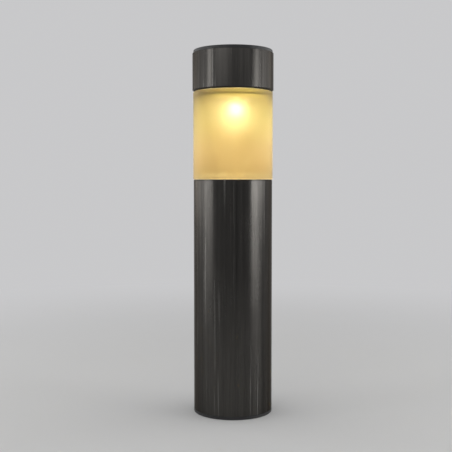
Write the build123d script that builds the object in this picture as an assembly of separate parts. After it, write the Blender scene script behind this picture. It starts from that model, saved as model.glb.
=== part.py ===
from build123d import *
import math
import os

# Solar garden light on a soil stake, in millimetres.
# +Z is up. The origin is on the axis at ground level: the stake is below it, the post above it.
# -Y is the front. The stake carries the post (tube and lens), and the head lifts out of the lens.

# ---------------------------------------------------------------- driving dimensions
TUBE_R = 38.0
TUBE_WALL = 0.8
TUBE_BOTTOM = 3.0
TUBE_TOP = 225.4

LENS_R = 38.3
LENS_WALL = 2.4
LENS_TOP = 310.3

SLEEVE_R = 39.1
SLEEVE_WALL = 0.8
SLEEVE_BOTTOM = LENS_TOP + 1.3
SLEEVE_TOP = 346.9

RIM_TOP = 350.0
RIM_BORE_R = 35.0

STAKE_DEPTH = 125.0

PUSH_GAP = 0.05      # radial clearance of a push fit inside one body
LOOSE_GAP = 0.1      # radial clearance of a loose fit inside one body
BODY_GAP = 0.4       # air between pieces that move apart
WELD = 0.1           # how far a feature is sunk into the piece that it grows from
OVERCUT = 1.0        # how far a cutting tool runs past the face that it opens

# heights in the head: the base plate and boards go up from the lens, the panel goes down from the rim
GASKET_BOTTOM = LENS_TOP + 0.3
PLATE_BOTTOM = LENS_TOP + 1.3
PLATE_TOP = PLATE_BOTTOM + 2.7
SKIRT_BOTTOM = PLATE_BOTTOM - 9.3
BOARD_BOTTOM = PLATE_TOP + 5.0
BOARD_TOP = BOARD_BOTTOM + 1.6
WINDOW_TOP = RIM_TOP - 1.2
WINDOW_BOTTOM = WINDOW_TOP - 2.8
DECK_TOP = WINDOW_BOTTOM - 3.6
DECK_BOTTOM = DECK_TOP - 2.2

# lamp, switch and battery places in the head
LED_X = 2.5
LED_Y = -6.5
LED_TIP = 290.0
SWITCH_X = -10.0
SWITCH_Y = -22.0
SWITCH_TRAVEL = 2.5
BATTERY_Y = 11.0
BATTERY_Z = PLATE_TOP + 8.4
BATTERY_R = 7.1
BATTERY_LENGTH = 50.0

# radii that follow from the above
TUBE_BORE_R = TUBE_R - TUBE_WALL
LENS_BORE_R = LENS_R - LENS_WALL
HOUSING_R = SLEEVE_R - SLEEVE_WALL - LOOSE_GAP
HOUSING_WALL = 2.0
HOUSING_BORE_R = HOUSING_R - HOUSING_WALL


# ---------------------------------------------------------------- shape helpers
def disc(radius, low, high, place=(0.0, 0.0)):
    """A round bar between two heights, about a vertical axis at place."""
    bar = Cylinder(radius, high - low, align=(Align.CENTER, Align.CENTER, Align.MIN))
    return Pos(*place, low) * bar


def hole(radius, low, high, place=(0.0, 0.0)):
    """The cutting tool for a round hole that opens both faces."""
    return disc(radius, low - OVERCUT, high + OVERCUT, place)


def ring(outer, inner, low, high):
    """A plain tube about the main axis."""
    return disc(outer, low, high) - hole(inner, low, high)


def block(x_range, y_range, z_range):
    """A box from its low and high coordinates."""
    ranges = (x_range, y_range, z_range)
    sizes = [high - low for low, high in ranges]
    middles = [(high + low) / 2 for low, high in ranges]
    return Pos(*middles) * Box(*sizes)


def about(middle, half):
    """The low and high coordinate of a span about its middle."""
    return middle - half, middle + half


def turned(*outline):
    """A solid of revolution about Z from its (radius, height) corners."""
    profile = Plane.XZ * make_face(Polyline(*outline, close=True))
    return revolve(profile, Axis.Z)


def spot(radius, degrees):
    """The x, y of a place on a circle about the main axis."""
    angle = math.radians(degrees)
    return radius * math.cos(angle), radius * math.sin(angle)


def round_edges(shape, level):
    """The circular edges at the lowest (0) or highest (-1) level of a shape."""
    return shape.edges().filter_by(GeomType.CIRCLE).group_by(Axis.Z)[level]


def rounded_ends(shape, radius):
    """Round every circular edge at both ends of a turned shape."""
    shape = fillet(round_edges(shape, -1), radius)
    return fillet(round_edges(shape, 0), radius)


def pan_screw(place, seat, head_r, shank_r, length, up=True):
    """A cross-recess pan-head screw whose head bears on the level seat.

    up=True has the shank above the seat, as in a screw driven from underneath.
    """
    head_height = head_r * 0.65
    head = disc(head_r, -head_height, 0)
    head = fillet(round_edges(head, 0), head_height * 0.45)
    shank = disc(shank_r, -WELD, length - shank_r)
    point = turned((0, length - shank_r), (shank_r, length - shank_r), (0, length))
    screw = head + shank + point
    for turn in (0, 90):
        recess = Box(head_r * 1.1, head_r * 0.28, head_height)
        screw -= Rot(0, 0, turn) * Pos(0, 0, -head_height) * recess
    if not up:
        screw = Rot(180, 0, 0) * screw
    return Pos(*place, seat) * screw


# ---------------------------------------------------------------- stake
COLLAR_R = 18.0
COLLAR_DROP = 1.2
COLLAR_TOP = 2.6
STUB_R = 11.8
STUB_WALL = 2.4
STUB_TOP = 24.6
STUB_LEAD_IN = 1.5
FIN_HALF_WIDTH = 17.5
FIN_THICKNESS = 2.6
FIN_SHOULDER = -18.0
CORE_R = 4.0
BARB_PITCH = 24.0
BARB_STEP = 2.2


def fin_outline():
    """Half of a fin: straight to the shoulder, then a taper with a step in at each barb."""
    outline = [(0, 0), (FIN_HALF_WIDTH, 0), (FIN_HALF_WIDTH, FIN_SHOULDER)]
    slope = FIN_HALF_WIDTH / (STAKE_DEPTH + FIN_SHOULDER)
    height = FIN_SHOULDER - BARB_PITCH
    while height > BARB_PITCH / 2 - STAKE_DEPTH:
        width = FIN_HALF_WIDTH - slope * (FIN_SHOULDER - height)
        outline += [(width + BARB_STEP / 2, height), (width - BARB_STEP / 2, height)]
        height -= BARB_PITCH
    return outline + [(0, -STAKE_DEPTH)]


def make_ground_stake():
    """Crossed fins that taper to a point, a collar, and the stub that the post drops over."""
    half_fin = Plane.XZ * make_face(Polyline(*fin_outline(), close=True))
    fin = extrude(half_fin, FIN_THICKNESS / 2, both=True)
    core_tip = -STAKE_DEPTH * 0.9
    stake = turned((0, 0), (CORE_R, 0), (CORE_R, FIN_SHOULDER), (0, core_tip))
    for turn in (0, 90, 180, 270):
        stake += Rot(0, 0, turn) * fin
    stake += disc(COLLAR_R, -COLLAR_DROP, COLLAR_TOP)
    stub_bore_r = STUB_R - STUB_WALL
    stub_bottom = COLLAR_TOP - WELD
    stake += turned((stub_bore_r, stub_bottom), (STUB_R, stub_bottom), (STUB_R, STUB_TOP - STUB_LEAD_IN),
                    (STUB_R - STUB_LEAD_IN, STUB_TOP), (stub_bore_r, STUB_TOP))
    web_reach = stub_bore_r + WELD
    for turn in (0, 90):
        web = block((-web_reach, web_reach), about(0, FIN_THICKNESS / 2), (stub_bottom, STUB_TOP - STUB_WALL))
        stake += Rot(0, 0, turn) * web
    return stake


# ---------------------------------------------------------------- post
PLUG_R = TUBE_BORE_R - PUSH_GAP
PLUG_WALL = 2.4
PLUG_TOP = 28.0
PLUG_WEB_TOP = 6.0
PLUG_CHAMFER = 0.6
PLUG_RIB_COUNT = 8
PLUG_RIB_TOP = 21.0
RIB_HALF_THICKNESS = 0.8
RECESS_R = COLLAR_R + 0.5
SOCKET_R = STUB_R + BODY_GAP
SOCKET_WALL = 2.4
SOCKET_CEILING = 25.4
SOCKET_TOP = 27.4
DRAIN_R = 1.6
DRAIN_CIRCLE_R = 26.0
DRAIN_ANGLES = (22.5, 112.5, 202.5, 292.5)


def make_base_plug():
    """The moulded foot that closes the tube, with the socket for the stake and four drain holes."""
    flange = disc(TUBE_R, 0, TUBE_BOTTOM)
    plug = chamfer(round_edges(flange, 0), PLUG_CHAMFER)
    plug += disc(PLUG_R, TUBE_BOTTOM - WELD, PLUG_WEB_TOP)
    wall_bore_r = PLUG_R - PLUG_WALL
    feature_bottom = PLUG_WEB_TOP - WELD
    plug += turned((wall_bore_r, feature_bottom), (PLUG_R, feature_bottom), (PLUG_R, PLUG_TOP - PLUG_CHAMFER),
                   (PLUG_R - PLUG_CHAMFER, PLUG_TOP), (wall_bore_r, PLUG_TOP))
    socket_outer_r = SOCKET_R + SOCKET_WALL
    plug += disc(socket_outer_r, feature_bottom, SOCKET_TOP)
    for index in range(PLUG_RIB_COUNT):
        rib = block((socket_outer_r - WELD, wall_bore_r + WELD), about(0, RIB_HALF_THICKNESS),
                    (feature_bottom, PLUG_RIB_TOP))
        plug += Rot(0, 0, index * 360 / PLUG_RIB_COUNT) * rib
    plug -= disc(RECESS_R, -OVERCUT, TUBE_BOTTOM)
    plug -= disc(SOCKET_R, TUBE_BOTTOM - OVERCUT, SOCKET_CEILING)
    for degrees in DRAIN_ANGLES:
        plug -= hole(DRAIN_R, 0, PLUG_WEB_TOP, spot(DRAIN_CIRCLE_R, degrees))
    return plug


def make_body_tube():
    """The long stainless tube, its cut edges broken."""
    return rounded_ends(ring(TUBE_R, TUBE_BORE_R, TUBE_BOTTOM, TUBE_TOP), TUBE_WALL * 0.35)


SEAT_BORE_R = 35.4
SEAT_BOTTOM = TUBE_TOP - 24.0
SHELF_BORE_R = 26.5
SHELF_TOP = TUBE_TOP - 9.6
SHELF_BOTTOM = SHELF_TOP - 2.6
SHELF_HAUNCH = 1.5
REFLECTOR_R = 35.0
REFLECTOR_FLOOR = 1.2
REFLECTOR_FLOOR_R = 14.0
REFLECTOR_EDGE_R = 31.5
REFLECTOR_TOP = SHELF_TOP + 1.6
REFLECTOR_SCREW_CIRCLE_R = 29.6
REFLECTOR_SCREW_ANGLES = (30, 150, 270)
REFLECTOR_SCREW_R = 1.1
REFLECTOR_SCREW_LENGTH = 6.5
REFLECTOR_BOSS_R = 2.6
REFLECTOR_BOSS_DROP = 7.0


def make_tube_collar():
    """The moulded ring glued in the tube's top: a seat for the lens and a shelf for the reflector."""
    collar = turned((PLUG_R, SEAT_BOTTOM), (PLUG_R, TUBE_TOP), (SEAT_BORE_R, TUBE_TOP),
                    (SEAT_BORE_R, SHELF_TOP), (SHELF_BORE_R, SHELF_TOP), (SHELF_BORE_R, SHELF_BOTTOM),
                    (SEAT_BORE_R, SHELF_BOTTOM - SHELF_HAUNCH), (SEAT_BORE_R, SEAT_BOTTOM))
    boss_bottom = SHELF_BOTTOM - REFLECTOR_BOSS_DROP
    for degrees in REFLECTOR_SCREW_ANGLES:
        place = spot(REFLECTOR_SCREW_CIRCLE_R, degrees)
        collar += disc(REFLECTOR_BOSS_R, boss_bottom, SHELF_BOTTOM + WELD, place)
        collar -= disc(REFLECTOR_SCREW_R + PUSH_GAP, boss_bottom + OVERCUT, SHELF_TOP + OVERCUT, place)
    return collar


def make_collar_seal():
    """The thin flat seal under the lens's shoulder."""
    return ring(TUBE_R - 0.3, SEAT_BORE_R + 0.2, TUBE_TOP, LENS_BOTTOM)


def make_reflector_plate():
    """The white dished disc that closes the tube under the lens."""
    floor_top = SHELF_TOP + REFLECTOR_FLOOR
    plate = turned((0, SHELF_TOP), (REFLECTOR_R, SHELF_TOP), (REFLECTOR_R, REFLECTOR_TOP),
                   (REFLECTOR_EDGE_R, REFLECTOR_TOP), (REFLECTOR_FLOOR_R, floor_top), (0, floor_top))
    for degrees in REFLECTOR_SCREW_ANGLES:
        place = spot(REFLECTOR_SCREW_CIRCLE_R, degrees)
        plate += disc(REFLECTOR_BOSS_R + BODY_GAP, SHELF_TOP, REFLECTOR_TOP, place)
        plate -= hole(REFLECTOR_SCREW_R + BODY_GAP, SHELF_TOP, REFLECTOR_TOP, place)
    return plate


def make_reflector_screws():
    """Three small screws that hold the reflector to the collar."""
    places = [spot(REFLECTOR_SCREW_CIRCLE_R, degrees) for degrees in REFLECTOR_SCREW_ANGLES]
    return Compound([
        pan_screw(place, REFLECTOR_TOP, 2.3, REFLECTOR_SCREW_R, REFLECTOR_SCREW_LENGTH, up=False)
        for place in places
    ])


LENS_BOTTOM = TUBE_TOP + 0.6
LENS_EDGE_ROUND = 1.0
SPIGOT_R = SEAT_BORE_R - LOOSE_GAP
SPIGOT_BORE_R = SPIGOT_R - 2.0
SPIGOT_BOTTOM = REFLECTOR_TOP + 0.3
KEY_HALF_WIDTH = 2.0
KEY_R = 36.6
NOTCH_BOTTOM = SKIRT_BOTTOM - 3.0


def make_diffuser():
    """The frosted lens: a tube with a spigot below and a notch at the back for the head's key."""
    lens = rounded_ends(ring(LENS_R, LENS_BORE_R, LENS_BOTTOM, LENS_TOP), LENS_EDGE_ROUND)
    neck = LENS_BOTTOM + 1.5
    blend_top = LENS_BOTTOM + 6.0
    inside_wall_r = LENS_BORE_R + LENS_WALL / 3
    lens += turned((SPIGOT_R, SPIGOT_BOTTOM), (SPIGOT_R, neck), (inside_wall_r, neck + 1.0),
                   (inside_wall_r, blend_top), (LENS_BORE_R, blend_top), (SPIGOT_BORE_R, neck),
                   (SPIGOT_BORE_R, SPIGOT_BOTTOM))
    notch_x = about(0, KEY_HALF_WIDTH + BODY_GAP)
    lens -= block(notch_x, (SPIGOT_BORE_R, KEY_R + BODY_GAP), (NOTCH_BOTTOM, LENS_TOP + OVERCUT))
    return lens


# ---------------------------------------------------------------- head shell
BOSS_CIRCLE_R = 29.6
BOSS_ANGLES = (90, 188, 270, 352)
BOSS_R = 3.2
BOSS_DRILL_DEPTH = 14.0
BASE_SCREW_R = 1.15
BASE_SCREW_LENGTH = 14.5
WIRE_HOLE_R = 2.6
PANEL_WIRE_X = 3.0
PANEL_WIRE_Y = -16.0
RIM_ROUND = 1.0


def make_lens_gasket():
    """The black ring that the head rests on the lens with."""
    return ring(LENS_R - 0.5, LENS_BORE_R + 0.2, GASKET_BOTTOM, PLATE_BOTTOM)


def make_cap_sleeve():
    """The stainless band around the head, its two cut edges broken."""
    band = ring(SLEEVE_R, SLEEVE_R - SLEEVE_WALL, SLEEVE_BOTTOM, SLEEVE_TOP)
    return rounded_ends(band, SLEEVE_WALL * 0.45)


def make_head_housing():
    """The black shell inside the sleeve: side wall, deck under the solar panel, rim and screw bosses."""
    shell = turned((HOUSING_BORE_R, PLATE_BOTTOM), (HOUSING_R, PLATE_BOTTOM), (HOUSING_R, RIM_TOP),
                   (RIM_BORE_R, RIM_TOP), (RIM_BORE_R, DECK_TOP), (0, DECK_TOP), (0, DECK_BOTTOM),
                   (HOUSING_BORE_R, DECK_BOTTOM))
    shell = fillet(round_edges(shell, -1), RIM_ROUND)
    boss_top = DECK_BOTTOM + WELD
    for degrees in BOSS_ANGLES:
        place = spot(BOSS_CIRCLE_R, degrees)
        shell += disc(BOSS_R, PLATE_TOP, boss_top, place)
        rib_x = (BOSS_CIRCLE_R + BOSS_R / 2, HOUSING_BORE_R + WELD)
        rib = block(rib_x, about(0, RIB_HALF_THICKNESS), (PLATE_TOP + BOSS_R, boss_top))
        shell += Rot(0, 0, degrees) * rib
        shell -= disc(BASE_SCREW_R + PUSH_GAP, PLATE_TOP - OVERCUT, PLATE_TOP + BOSS_DRILL_DEPTH, place)
    for side in (-1, 1):
        shell -= hole(WIRE_HOLE_R, DECK_BOTTOM, DECK_TOP, (side * PANEL_WIRE_X, PANEL_WIRE_Y))
    return shell


SKIRT_R = LENS_BORE_R - 0.5
SKIRT_BORE_R = SKIRT_R - 2.0
SKIRT_LEAD_IN = 0.8
GROOVE_R = SKIRT_R - 1.1
GROOVE_BOTTOM = SKIRT_BOTTOM + 3.0
GROOVE_TOP = GROOVE_BOTTOM + 2.0
KEY_BOTTOM = GROOVE_TOP + 0.2
BATTERY_DOOR_HALF_X = 27.6
BATTERY_DOOR_HALF_Y = 7.2
BOARD_POST_R = 2.8
BOARD_POSTS = ((-19.0, -8.0), (19.0, -8.0))
BOARD_SCREW_R = 1.0
COVER_SCREWS = ((0.0, BATTERY_Y + 11.6), (-14.0, BATTERY_Y - 11.6))
COVER_SCREW_R = 0.9
COVER_POST_R = 2.4
COVER_POST_TOP = BOARD_BOTTOM - 0.4
LEAD_HOLE_R = 2.4

# the switch knob's shoe slides in the switch case, and its stem passes down through a slot
SHOE_HALF_X = 2.4
SHOE_HALF_Y = 1.7
SHOE_Z = (PLATE_TOP + 1.6, PLATE_TOP + 3.2)
STEM_HALF_X = 1.2
STEM_HALF_Y = 0.9
SLOT_X = about(SWITCH_X, STEM_HALF_X + SWITCH_TRAVEL / 2 + BODY_GAP)
SLOT_Y = about(SWITCH_Y, STEM_HALF_Y + BODY_GAP)


def make_base_plate():
    """The head's underside: a plate with a skirt that pushes into the lens, its posts and openings."""
    plate_r = HOUSING_BORE_R - BODY_GAP
    plate = turned((0, PLATE_BOTTOM), (SKIRT_BORE_R, PLATE_BOTTOM), (SKIRT_BORE_R, SKIRT_BOTTOM),
                   (SKIRT_R - SKIRT_LEAD_IN, SKIRT_BOTTOM), (SKIRT_R, SKIRT_BOTTOM + SKIRT_LEAD_IN),
                   (SKIRT_R, GROOVE_BOTTOM), (GROOVE_R, GROOVE_BOTTOM), (GROOVE_R, GROOVE_TOP),
                   (SKIRT_R, GROOVE_TOP), (SKIRT_R, PLATE_BOTTOM), (plate_r, PLATE_BOTTOM),
                   (plate_r, PLATE_TOP), (0, PLATE_TOP))
    plate += block(about(0, KEY_HALF_WIDTH), (GROOVE_R, KEY_R), (KEY_BOTTOM, LENS_TOP))
    for place in BOARD_POSTS:
        plate += disc(BOARD_POST_R, PLATE_TOP - WELD, BOARD_BOTTOM, place)
        plate -= disc(BOARD_SCREW_R + PUSH_GAP, PLATE_TOP, BOARD_BOTTOM + OVERCUT, place)
    for place in COVER_SCREWS:
        plate += disc(COVER_POST_R, PLATE_TOP - WELD, COVER_POST_TOP, place)
        plate -= disc(COVER_SCREW_R + PUSH_GAP, PLATE_BOTTOM - OVERCUT, COVER_POST_TOP - WELD, place)
    for degrees in BOSS_ANGLES:
        plate -= hole(BASE_SCREW_R + BODY_GAP, PLATE_BOTTOM, PLATE_TOP, spot(BOSS_CIRCLE_R, degrees))
    plate -= hole(LEAD_HOLE_R, PLATE_BOTTOM, PLATE_TOP, (LED_X, LED_Y))
    through = (PLATE_BOTTOM - OVERCUT, PLATE_TOP + OVERCUT)
    plate -= block(about(0, BATTERY_DOOR_HALF_X), about(BATTERY_Y, BATTERY_DOOR_HALF_Y), through)
    plate -= block(SLOT_X, SLOT_Y, through)
    return plate


def make_base_screws():
    """Four screws from below that hold the base plate to the housing."""
    places = [spot(BOSS_CIRCLE_R, degrees) for degrees in BOSS_ANGLES]
    return Compound([
        pan_screw(place, PLATE_BOTTOM, 2.6, BASE_SCREW_R, BASE_SCREW_LENGTH) for place in places
    ])


def make_skirt_o_ring():
    """The round cord ring in the skirt's groove that grips the lens."""
    cord_r = 0.65
    middle = (GROOVE_BOTTOM + GROOVE_TOP) / 2
    return Pos(0, 0, middle) * Torus(GROOVE_R + cord_r + PUSH_GAP, cord_r)


# ---------------------------------------------------------------- solar panel
PANEL_R = 32.0
PANEL_TOP = DECK_TOP + 1.6
PANEL_SEAL_BORE_R = 32.4
WINDOW_R = RIM_BORE_R - 0.2
CELL_TOP = PANEL_TOP + 0.5
CELL_ROWS = 6
CELL_WIDTH = 8.6
CELL_PITCH = 9.4
CELL_REACH_R = 29.8
RIBBON_X = 8.0
RIBBON_HALF_WIDTH = 0.7
RIBBON_THICKNESS = 0.15
RIBBON_INSET = 1.5


def make_panel_window():
    """The clear top window over the cells."""
    window = disc(WINDOW_R, WINDOW_BOTTOM, WINDOW_TOP)
    return fillet(round_edges(window, -1), RIM_ROUND / 2)


def make_panel_seal():
    """The black adhesive ring that carries the window around the panel."""
    return ring(WINDOW_R, PANEL_SEAL_BORE_R, DECK_TOP, WINDOW_BOTTOM)


def make_panel_board():
    """The round board that the cells are bonded to."""
    return disc(PANEL_R, DECK_TOP, PANEL_TOP)


def cell_row_y(row):
    """The middle of a row of cells."""
    return (row - (CELL_ROWS - 1) / 2) * CELL_PITCH


def make_solar_cells():
    """Silicon strips side by side, cut to the round of the panel."""
    reach = disc(CELL_REACH_R, PANEL_TOP, CELL_TOP)
    cells = []
    for row in range(CELL_ROWS):
        strip = block(about(0, PANEL_R), about(cell_row_y(row), CELL_WIDTH / 2), (PANEL_TOP, CELL_TOP))
        cells.append((strip & reach).solid())
    return Compound(cells)


def make_cell_ribbons():
    """Two tinned ribbons that run across all the cells."""
    half_length = cell_row_y(CELL_ROWS - 1) + CELL_WIDTH / 2 - RIBBON_INSET
    thickness = (CELL_TOP, CELL_TOP + RIBBON_THICKNESS)
    return Compound([
        block(about(x, RIBBON_HALF_WIDTH), about(0, half_length), thickness) for x in (-RIBBON_X, RIBBON_X)
    ])


# ---------------------------------------------------------------- electronics
CONTROL_BOARD_R = 25.6
CONTROL_BOARD_EDGE_Y = -0.6
LED_PITCH = 2.54
CHIP_PLACE = (-6.0, -8.0)
INDUCTOR_PLACE = (9.5, -9.0)
CAPACITOR_PLACE = (9.5, -17.0)
LEG_PITCH = 1.27


def make_control_board():
    """A half-round circuit board in front of the battery."""
    board = disc(CONTROL_BOARD_R, BOARD_BOTTOM, BOARD_TOP)
    behind = (CONTROL_BOARD_EDGE_Y, CONTROL_BOARD_R + OVERCUT)
    board -= block(about(0, CONTROL_BOARD_R + OVERCUT), behind, (BOARD_BOTTOM - OVERCUT, BOARD_TOP + OVERCUT))
    for place in BOARD_POSTS:
        board -= hole(BOARD_SCREW_R + BODY_GAP, BOARD_BOTTOM, BOARD_TOP, place)
    for side in (-1, 1):
        board -= hole(0.5, BOARD_BOTTOM, BOARD_TOP, (LED_X + side * LED_PITCH / 2, LED_Y))
    return board


def make_board_screws():
    """Two screws that hold the circuit board down."""
    return Compound([pan_screw(place, BOARD_TOP, 2.1, BOARD_SCREW_R, 6.0, up=False) for place in BOARD_POSTS])


def make_driver_chip():
    """The eight-legged charge and lamp driver."""
    body_half_x = 1.95
    foot_reach = 3.0
    leg = 0.2
    chip = block(about(0, body_half_x), about(0, 2.45), (0.15, 1.6))
    for row in range(4):
        leg_y = about((row - 1.5) * LEG_PITCH, leg)
        chip += block(about(0, foot_reach), leg_y, (0.6, 0.6 + leg))
        for side in (-1, 1):
            chip += block(about(side * (foot_reach - leg / 2), leg / 2), leg_y, (0, 0.6 + leg))
    return Pos(*CHIP_PLACE, BOARD_TOP) * chip


def make_inductor():
    """A drum core with its winding."""
    drum = turned((0, 0), (3.0, 0), (3.0, 1.0), (2.3, 1.2), (2.3, 4.0), (3.0, 4.2), (3.0, 5.2), (0, 5.2))
    return Pos(*INDUCTOR_PLACE, BOARD_TOP) * drum


def make_capacitor():
    """A small standing electrolytic can with its crimp."""
    can = turned((0, 0), (2.5, 0), (2.5, 0.8), (2.2, 1.1), (2.5, 1.4), (2.5, 6.6), (2.1, 7.0), (0, 7.0))
    return Pos(*CAPACITOR_PLACE, BOARD_TOP) * can


SWITCH_HALF_X = 6.0
SWITCH_HALF_Y = 3.0
KNOB_TIP_HALF_X = 2.0
KNOB_TIP_HALF_Y = 1.6
KNOB_TIP_Z = (PLATE_BOTTOM - 4.1, PLATE_BOTTOM - 0.7)
GRIP_PITCH = 0.9
GRIP_HALF_WIDTH = 0.2
GRIP_DEPTH = 0.5


def make_switch_body():
    """The switch case, soldered under the circuit board, with the hollow that the shoe slides in."""
    case_z = (PLATE_TOP + LOOSE_GAP, BOARD_BOTTOM)
    case = block(about(SWITCH_X, SWITCH_HALF_X), about(SWITCH_Y, SWITCH_HALF_Y), case_z)
    hollow_x = about(SWITCH_X, SHOE_HALF_X + SWITCH_TRAVEL / 2 + BODY_GAP)
    hollow_y = about(SWITCH_Y, SHOE_HALF_Y + BODY_GAP)
    case -= block(hollow_x, hollow_y, (SHOE_Z[0] - BODY_GAP, SHOE_Z[1] + BODY_GAP))
    case -= block(SLOT_X, SLOT_Y, (PLATE_TOP - OVERCUT, SHOE_Z[0]))
    return case


def make_switch_knob():
    """The sliding knob, at the end of its travel where the lamp is on."""
    x = SWITCH_X - SWITCH_TRAVEL / 2
    knob = block(about(x, SHOE_HALF_X), about(SWITCH_Y, SHOE_HALF_Y), SHOE_Z)
    stem_z = (KNOB_TIP_Z[1] - WELD, SHOE_Z[0] + WELD)
    knob += block(about(x, STEM_HALF_X), about(SWITCH_Y, STEM_HALF_Y), stem_z)
    tip = block(about(x, KNOB_TIP_HALF_X), about(SWITCH_Y, KNOB_TIP_HALF_Y), KNOB_TIP_Z)
    tip = chamfer(tip.edges().group_by(Axis.Z)[0], GRIP_HALF_WIDTH * 2)
    for offset in (-GRIP_PITCH, 0.0, GRIP_PITCH):
        groove_z = (KNOB_TIP_Z[0] - OVERCUT, KNOB_TIP_Z[0] + GRIP_DEPTH)
        tip -= block(about(x + offset, GRIP_HALF_WIDTH), about(SWITCH_Y, KNOB_TIP_HALF_Y + OVERCUT), groove_z)
    return knob + tip


# ---------------------------------------------------------------- lamp
LED_R = 4.0
LED_FLANGE_R = 4.7
LED_FLANGE_BOTTOM = LED_TIP + 8.0
LED_FLANGE_TOP = LED_FLANGE_BOTTOM + 1.2
HOLDER_BOTTOM = LED_TIP + 6.0
HOLDER_CUP_R = LED_FLANGE_R + LOOSE_GAP
HOLDER_BORE_R = 2.2


def make_led_holder():
    """The white tapered turret that carries the lamp down into the lens."""
    foot_top = PLATE_BOTTOM
    holder = turned((HOLDER_CUP_R, HOLDER_BOTTOM), (5.7, HOLDER_BOTTOM), (6.1, HOLDER_BOTTOM + 0.6),
                    (6.5, foot_top - 3.0), (7.3, foot_top - 1.0), (7.3, foot_top), (HOLDER_BORE_R, foot_top),
                    (HOLDER_BORE_R, LED_FLANGE_TOP), (HOLDER_CUP_R, LED_FLANGE_TOP))
    return Pos(LED_X, LED_Y, 0) * holder


def make_led_lamp():
    """An 8 mm lamp with its dome pointing down."""
    shoulder = LED_TIP + LED_R
    lamp = disc(LED_R, shoulder, LED_FLANGE_BOTTOM + WELD)
    lamp += disc(LED_FLANGE_R, LED_FLANGE_BOTTOM, LED_FLANGE_TOP)
    lamp += Pos(0, 0, shoulder) * Sphere(LED_R)
    return Pos(LED_X, LED_Y, 0) * lamp


def make_led_leads():
    """The lamp's two leads, up through the base plate to the circuit board."""
    return Compound([
        disc(0.3, LED_FLANGE_TOP, BOARD_TOP + 1.0, (LED_X + side * LED_PITCH / 2, LED_Y)) for side in (-1, 1)
    ])


# ---------------------------------------------------------------- battery
BOX_HALF_LENGTH = 27.8
BOX_HALF_WIDTH = BATTERY_R + 0.3
BOX_WALL = 1.4
BOX_ROOF = BATTERY_Z + 7.8
BOX_TOP = BOX_ROOF + BOX_WALL
BOX_CLIP_R = HOUSING_BORE_R - 1.2
CONTACT_X = BOX_HALF_LENGTH - 0.5
CONTACT_TOP = BOX_TOP + 1.4
CONTACT_HALF_WIDTH = 5.5
CONTACT_HALF_HEIGHT = 6.0
TAB_HALF_WIDTH = 1.8
BATTERY_CAP_R = 2.6
BATTERY_CAP_HEIGHT = 1.2
BATTERY_FLAT_X = CONTACT_X - BATTERY_LENGTH
SPRING_CORD_R = 0.3
SPRING_COILS = 3


def make_battery_cell():
    """A single round cell with its raised positive cap."""
    can_end = BATTERY_LENGTH - BATTERY_CAP_HEIGHT
    crimp = 0.5
    cell = turned((0, 0), (BATTERY_R - crimp, 0), (BATTERY_R, crimp), (BATTERY_R, can_end - crimp),
                  (BATTERY_R - crimp, can_end), (BATTERY_CAP_R, can_end), (BATTERY_CAP_R, BATTERY_LENGTH),
                  (0, BATTERY_LENGTH))
    return Pos(BATTERY_FLAT_X, BATTERY_Y, BATTERY_Z) * Rot(0, 90, 0) * cell


def make_battery_box():
    """The trough over the battery, open below, with slots in its roof for the contacts."""
    outside = block(about(0, BOX_HALF_LENGTH + BOX_WALL), about(BATTERY_Y, BOX_HALF_WIDTH + BOX_WALL),
                    (PLATE_TOP, BOX_TOP))
    box = outside & disc(BOX_CLIP_R, PLATE_TOP, BOX_TOP)
    box -= block(about(0, BOX_HALF_LENGTH), about(BATTERY_Y, BOX_HALF_WIDTH), (PLATE_TOP - OVERCUT, BOX_ROOF))
    for side in (-1, 1):
        slot_x = sorted((side * (CONTACT_X - 0.2), side * BOX_HALF_LENGTH))
        slot_y = about(BATTERY_Y, TAB_HALF_WIDTH + BODY_GAP)
        box -= block(slot_x, slot_y, (BOX_ROOF - OVERCUT, BOX_TOP + OVERCUT))
    return box


def contact(side):
    """A plated spring-steel contact: a plate at one end of the box with a tab up through the roof."""
    thickness = sorted((side * CONTACT_X, side * BOX_HALF_LENGTH))
    plate = block(thickness, about(BATTERY_Y, CONTACT_HALF_WIDTH), about(BATTERY_Z, CONTACT_HALF_HEIGHT))
    tab = block(thickness, about(BATTERY_Y, TAB_HALF_WIDTH), (BATTERY_Z, CONTACT_TOP))
    return plate + tab


def make_battery_spring():
    """The coil spring that pushes on the cell's flat end."""
    reach = BATTERY_FLAT_X + CONTACT_X - 2 * SPRING_CORD_R - LOOSE_GAP
    path = Helix(pitch=reach / SPRING_COILS, height=reach, radius=BATTERY_R / 2)
    section = Plane(origin=path @ 0, z_dir=path % 0) * Circle(SPRING_CORD_R)
    coil = sweep(section, path=path, is_frenet=True)
    return Pos(-CONTACT_X + SPRING_CORD_R + LOOSE_GAP / 2, BATTERY_Y, BATTERY_Z) * Rot(0, 90, 0) * coil


COVER_TOP = PLATE_BOTTOM - 0.6
COVER_BOTTOM = COVER_TOP - 1.6
COVER_HALF_LENGTH = 30.6
COVER_HALF_WIDTH = 9.4
COVER_CLIP_R = 32.4
COVER_EAR_R = 3.4
COVER_GRIP_COUNT = 5
COVER_GRIP_PITCH = 2.0
COVER_GRIP_START = 10.0


def cover_outline(inset, low, high):
    """The cover's plan shape: an oblong with its corners cut to the round of the skirt."""
    x_range = about(0, COVER_HALF_LENGTH - inset)
    oblong = block(x_range, about(BATTERY_Y, COVER_HALF_WIDTH - inset), (low, high))
    return oblong & disc(COVER_CLIP_R - inset, low, high)


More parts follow.
